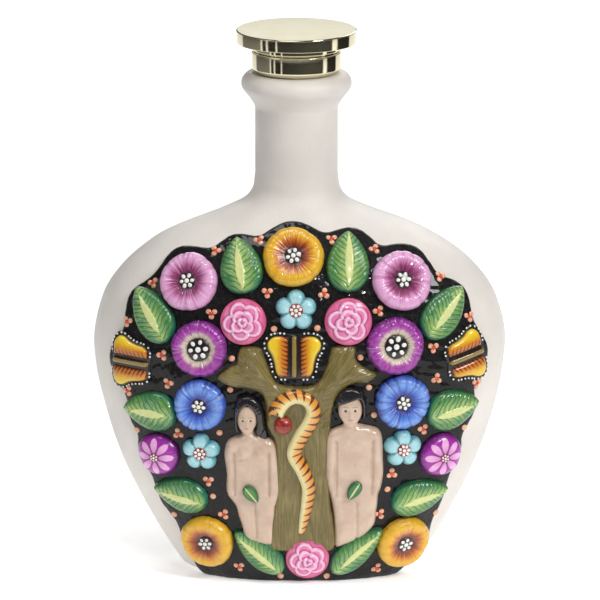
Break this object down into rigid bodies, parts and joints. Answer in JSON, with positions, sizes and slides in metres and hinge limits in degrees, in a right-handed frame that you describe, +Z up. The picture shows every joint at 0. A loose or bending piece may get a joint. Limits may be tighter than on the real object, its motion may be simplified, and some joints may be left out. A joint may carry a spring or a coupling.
{
  "type": "tree of life clay decanter",
  "caption": "Flattened clay bottle with a pull-out metal-topped cork and a painted tree of life in relief on its front.",
  "frame": {"origin": "centre of the flat foot, on the surface that the bottle stands on", "axes": "+Z up through the neck and stopper, the decorated front faces -Y, +X to the viewer's right"},
  "size_m": [0.1902, 0.0999, 0.2509],
  "materials": {
    "bisque_clay": "matte, very fine tooth",
    "black_lacquer": "gloss lacquer over clay",
    "olive_paint": "gloss, brush streaked",
    "snake_paint": "gloss, hand striped",
    "apple_red": "gloss",
    "skin_paint": "gloss",
    "hair_black": "gloss",
    "leaf_green": "gloss, brushed veins",
    "yellow_petals": "gloss, brushed",
    "pink_petals": "gloss, brushed",
    "violet_petals": "gloss, brushed",
    "blue_petals": "gloss, brushed",
    "sky_petals": "gloss",
    "rose_petals": "gloss",
    "daisy_petals": "gloss",
    "butterfly_paint": "gloss, brushed",
    "centre_black": "gloss with white dots",
    "berry_peach": "gloss",
    "pale_gold": "polished plate with a satin top",
    "cork": "natural cork"
  },
  "bodies": {
    "decanter": {"bottle": "bisque_clay", "relief_ground": "black_lacquer", "tree": "olive_paint", "snake": "snake_paint", "apple": "apple_red", "woman": "skin_paint", "man": "skin_paint", "woman_hair": "hair_black", "man_hair": "hair_black", "woman_fig_leaf": "leaf_green", "man_fig_leaf": "leaf_green", "sunflower_top": "yellow_petals", "sunflower_left": "yellow_petals", "sunflower_right": "yellow_petals", "pink_flower_left": "pink_petals", "pink_flower_right": "pink_petals", "anemone_left": "violet_petals", "anemone_right": "violet_petals", "blue_flower_left": "blue_petals", "blue_flower_right": "blue_petals", "star_flower_top": "sky_petals", "star_flower_left": "sky_petals", "star_flower_right": "sky_petals", "rose_left": "rose_petals", "rose_right": "rose_petals", "rose_bottom": "rose_petals", "daisy_left": "daisy_petals", "daisy_right": "daisy_petals", "leaf_top_left": "leaf_green", "leaf_top_right": "leaf_green", "leaf_upper_left": "leaf_green", "leaf_upper_right": "leaf_green", "leaf_middle_left": "leaf_green", "leaf_middle_right": "leaf_green", "leaf_lower_left": "leaf_green", "leaf_lower_right": "leaf_green", "leaf_bottom_left": "leaf_green", "leaf_bottom_right": "leaf_green", "butterfly_top": "butterfly_paint", "butterfly_left": "butterfly_paint", "butterfly_right": "butterfly_paint", "flower_centres": "centre_black", "berries": "berry_peach"},
    "stopper": {"stopper_disc": "pale_gold", "stopper_collar": "pale_gold", "stopper_cork": "cork"}
  },
  "joints": [
    {"name": "stopper_pull", "type": "slide", "parent": "decanter", "child": "stopper", "axis": [0, 0, 1], "range_m": [0, 0.045]}
  ]
}
